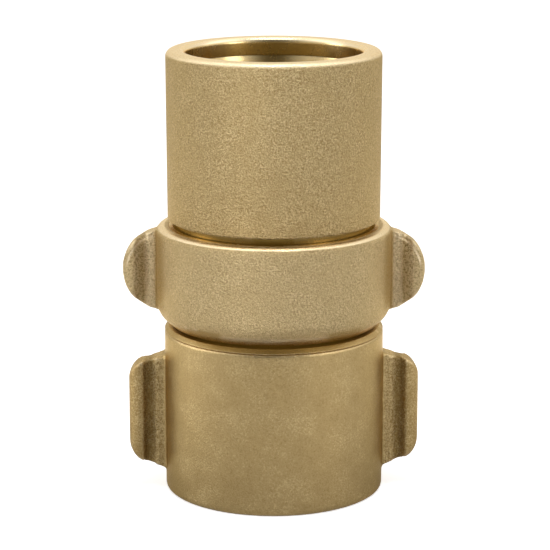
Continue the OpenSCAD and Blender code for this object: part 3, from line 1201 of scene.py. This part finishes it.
def lit_from_sides(side, front, beside):
    """Light of the tent, from straight ahead to beside the object. side runs from -1 to 1."""
    return side.unsigned().mapped(0.0, 0.75, front, beside) * side.mapped(0.85, 1.0, 1.0, 0.85)


def white_floor(stage):
    """White paper for the camera, and a softly lit floor for the metal that mirrors it."""
    bm = bmesh.new()
    bmesh.ops.create_grid(bm, x_segments=1, y_segments=1, size=FLOOR_HALF)
    floor = finished("floor", bm)
    material, s = new_material("white floor")
    seen, shiny = s.rays()
    spot = s.place()
    away = s.from_axis(spot)
    sides = lit_from_sides(s.part(spot, "X") / away, 1.36, 1.18)
    # In millimetres: dim next to the object, brightest round it, and dim again far off
    near, far = away.mapped(25.0, 170.0, 0.5, 1.04), away.mapped(250.0, 480.0, 1.0, 0.2)
    clear = sides * near * far
    back = s.part(spot, "Y").mapped(-350.0, 250.0, stage.front_glow, stage.back_glow)
    tone = s.mix(shiny, grey(0.8), clear * 0.76)
    strength = s.mix(shiny, grey(0.62), back * clear)
    paper = s.node("ShaderNodeBsdfDiffuse", None, {"Color": tone})
    glow = s.node("ShaderNodeEmission", None, {"Color": strength, "Strength": 1.0})
    lit = s.node("ShaderNodeAddShader", None, {0: paper, 1: glow})
    glowing = (seen + shiny).clamped()
    s.wire(s.node("ShaderNodeMixShader", None, {0: glowing, 1: paper, 2: lit}))
    floor.data.materials.append(material)


def studio_room(stage):
    """White for the camera, an even room for matt pieces, and a light tent for shiny metal."""
    world = bpy.data.worlds.new("studio")
    s = Shader(world)
    seen, shiny = s.rays()
    way = s.node("ShaderNodeTexCoord", output="Generated")
    side, back, up = s.part(way, "X"), s.part(way, "Y"), s.part(way, "Z")
    corners = side.mapped(-0.9, -0.3, 1.2, 1.0) * side.mapped(0.3, 0.7, 1.0, 1.2)
    tent = lit_from_sides(side, 0.2, 1.75) * corners
    behind = back.mapped(0.05, 0.45)
    light = back.mapped(-0.8, 0.5, 0.42, 1.0) * (tent * (1.0 - behind) + behind)
    light = light * up.mapped(0.55, 0.9, 1.0, 1.5)
    tone = s.mix(shiny, grey(stage.room_light), light)
    room = s.node("ShaderNodeBackground", None, {"Color": tone})
    white = s.node("ShaderNodeBackground", None, {"Color": grey(1.0), "Strength": 1.0})
    both = s.node("ShaderNodeMixShader", None, {0: seen, 1: room, 2: white})
    s.wire(both, "ShaderNodeOutputWorld")
    return world


class COUPLING_OT_stage(bpy.types.Operator):
    """Set up the floor, the lamps and the camera"""

    bl_idname = "coupling.stage"
    bl_label = "Stage"

    def execute(self, context):
        scene = context.scene
        stage = scene.coupling_stage
        scene.view_settings.view_transform = "Standard"
        white_floor(stage)
        scene.world = studio_room(stage)

        for name, spot, size, share in LAMPS:
            light = bpy.data.lights.new(name, "AREA")
            light.shape = "SQUARE"
            light.size = size
            light.energy = stage.lamp_power * share
            lamp = bpy.data.objects.new(name, light)
            lamp.location = spot
            lamp.rotation_euler = (LAMPS_AIM - lamp.location).to_track_quat("-Z", "Y").to_euler()
            scene.collection.objects.link(lamp)

        view = bpy.data.cameras.new("camera")
        view.sensor_width = SENSOR_WIDTH
        view.lens = stage.focal_length
        camera = bpy.data.objects.new("camera", view)
        camera.location = (CAMERA_SIDE, -stage.camera_distance, stage.camera_height)
        camera.rotation_euler = (math.pi / 2 - stage.camera_tilt, 0.0, 0.0)
        scene.collection.objects.link(camera)
        scene.camera = camera
        return {"FINISHED"}


class COUPLING_PT_sidebar(bpy.types.Panel):
    """The coupling's pieces, in the order they are made"""

    bl_label = "Fire Hose Coupling"
    bl_idname = "COUPLING_PT_sidebar"
    bl_space_type = "VIEW_3D"
    bl_region_type = "UI"
    bl_category = "Coupling"

    def draw(self, context):
        column = self.layout.column()
        for operator in OPERATORS:
            column.operator(operator.bl_idname)


OPERATORS = (
    COUPLING_OT_female_tailpiece,
    COUPLING_OT_swivel_ring,
    COUPLING_OT_male_half,
    COUPLING_OT_inner_pieces,
    COUPLING_OT_stage,
)
GROUPS = {
    "coupling_bowls": CouplingBowls,
    "coupling_swivel": CouplingSwivel,
    "coupling_lugs": CouplingLugs,
    "coupling_thread": CouplingThread,
    "coupling_finish": CouplingFinish,
    "coupling_stage": CouplingStage,
}
CLASSES = (*GROUPS.values(), *OPERATORS, COUPLING_PT_sidebar)


def register():
    for cls in CLASSES:
        bpy.utils.register_class(cls)
    for name, group in GROUPS.items():
        setattr(bpy.types.Scene, name, PointerProperty(type=group))


def unregister():
    for name in GROUPS:
        delattr(bpy.types.Scene, name)
    for cls in reversed(CLASSES):
        bpy.utils.unregister_class(cls)


def main():
    register()
    for operator in OPERATORS:
        group, name = operator.bl_idname.split(".")
        if getattr(getattr(bpy.ops, group), name)() != {"FINISHED"}:
            raise RuntimeError(operator.bl_label + " wasn't made")


if __name__ == "__main__":
    main()
